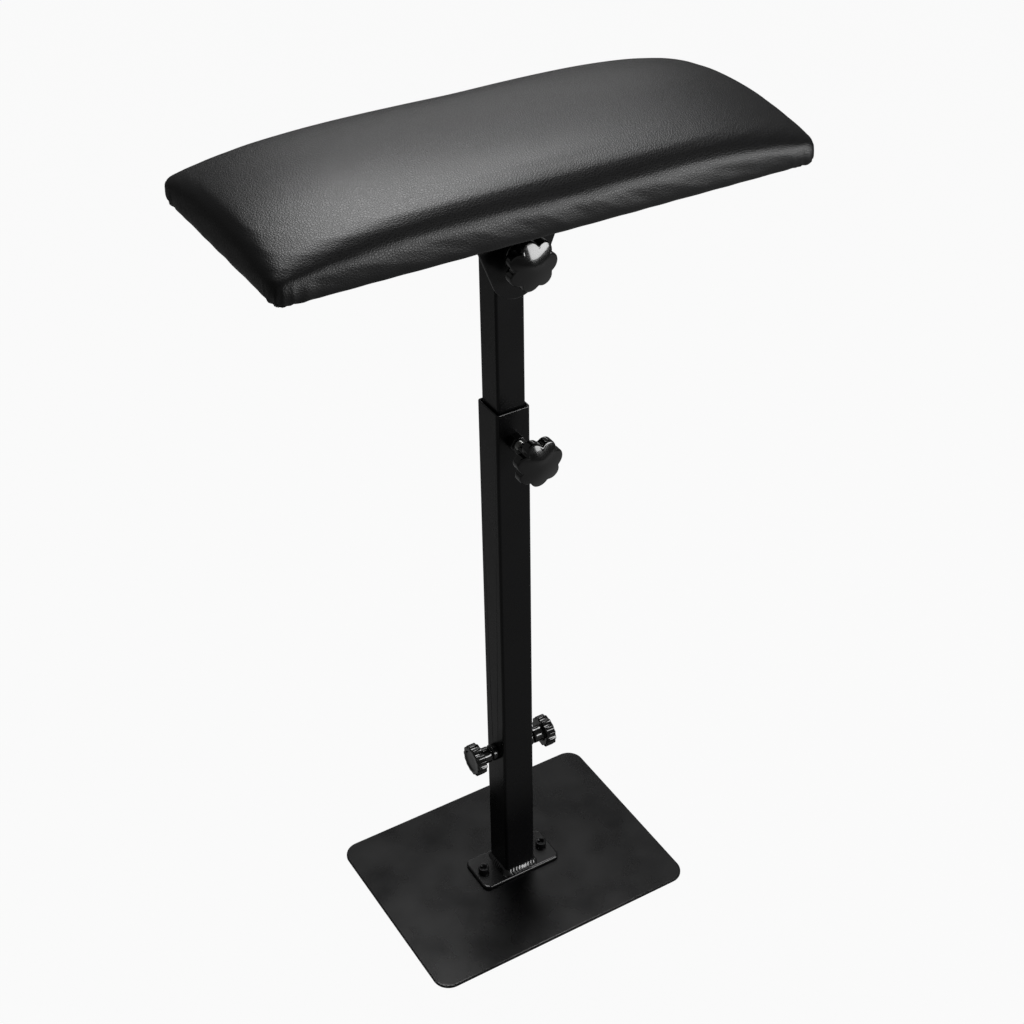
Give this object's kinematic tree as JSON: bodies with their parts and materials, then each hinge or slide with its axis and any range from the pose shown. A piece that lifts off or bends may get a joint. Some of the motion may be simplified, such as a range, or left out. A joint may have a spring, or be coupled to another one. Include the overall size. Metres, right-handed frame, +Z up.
{
  "type": "tattoo arm rest stand",
  "caption": "Padded arm rest on a telescopic square post with a flat foot plate; star knobs clamp its height and the tilt of the pad.",
  "frame": {"origin": "middle of the foot plate's underside, on the floor", "axes": "+Z up along the post, +X along the length of the pad, -Y towards the side that the star knobs are on"},
  "size_m": [0.43, 0.196, 0.75],
  "materials": {
    "black_powder_coat": "gloss black powder coat with a fine orange-peel texture",
    "black_oxide_steel": "satin black oxide",
    "zinc_plated_steel": "bright zinc plate",
    "knob_plastic": "gloss black moulding",
    "plug_plastic": "matt black moulding",
    "black_leather": "fine-grained soft black synthetic leather, satin",
    "pad_foam": "open-cell upholstery foam",
    "plywood": "bare plywood",
    "black_cloth": "thin non-woven dust cloth"
  },
  "bodies": {
    "base": {"base_plate": "black_powder_coat", "post_flange": "black_powder_coat", "flange_bolts": "black_oxide_steel", "lower_tube": "black_powder_coat", "foot_weld": "black_powder_coat", "height_clamp_nut": "black_powder_coat", "left_clamp_nut": "black_powder_coat", "right_clamp_nut": "black_powder_coat"},
    "height_knob": {"height_knob_grip": "knob_plastic", "height_knob_stud": "zinc_plated_steel"},
    "left_side_knob": {"left_knob_grip": "knob_plastic", "left_knob_stud": "zinc_plated_steel"},
    "right_side_knob": {"right_knob_grip": "knob_plastic", "right_knob_stud": "zinc_plated_steel"},
    "mast": {"upper_tube": "black_powder_coat", "mast_top_plug": "plug_plastic", "mast_foot_plug": "plug_plastic", "tilt_clamp_nut": "black_powder_coat"},
    "tilt_knob": {"tilt_knob_grip": "knob_plastic", "tilt_knob_stud": "zinc_plated_steel"},
    "armrest": {"tilt_bracket": "black_powder_coat", "tilt_washer": "zinc_plated_steel", "bracket_screws": "black_oxide_steel", "board_tee_nuts": "zinc_plated_steel", "pad_cover": "black_leather", "pad_foam": "pad_foam", "pad_board": "plywood", "underside_cloth": "black_cloth"}
  },
  "joints": [
    {"name": "height_slide", "type": "slide", "parent": "base", "child": "mast", "axis": [0, 0, 1], "range_m": [-0.095, 0.19]},
    {"name": "pad_tilt", "type": "hinge", "parent": "mast", "child": "armrest", "pos_m": [0, -0.0221, 0.65], "axis": [0, 1, 0], "range_deg": [-90, 90]},
    {"name": "height_knob_turn", "type": "hinge", "parent": "base", "child": "height_knob", "pos_m": [0, -0.029, 0.485], "axis": [0, 1, 0], "continuous": true},
    {"name": "left_side_knob_turn", "type": "hinge", "parent": "base", "child": "left_side_knob", "pos_m": [-0.0222, 0, 0.152], "axis": [1, 0, 0], "continuous": true},
    {"name": "right_side_knob_turn", "type": "hinge", "parent": "base", "child": "right_side_knob", "pos_m": [0.0222, 0, 0.152], "axis": [1, 0, 0], "continuous": true},
    {"name": "tilt_knob_turn", "type": "hinge", "parent": "mast", "child": "tilt_knob", "pos_m": [0, -0.0253, 0.65], "axis": [0, 1, 0], "continuous": true}
  ]
}
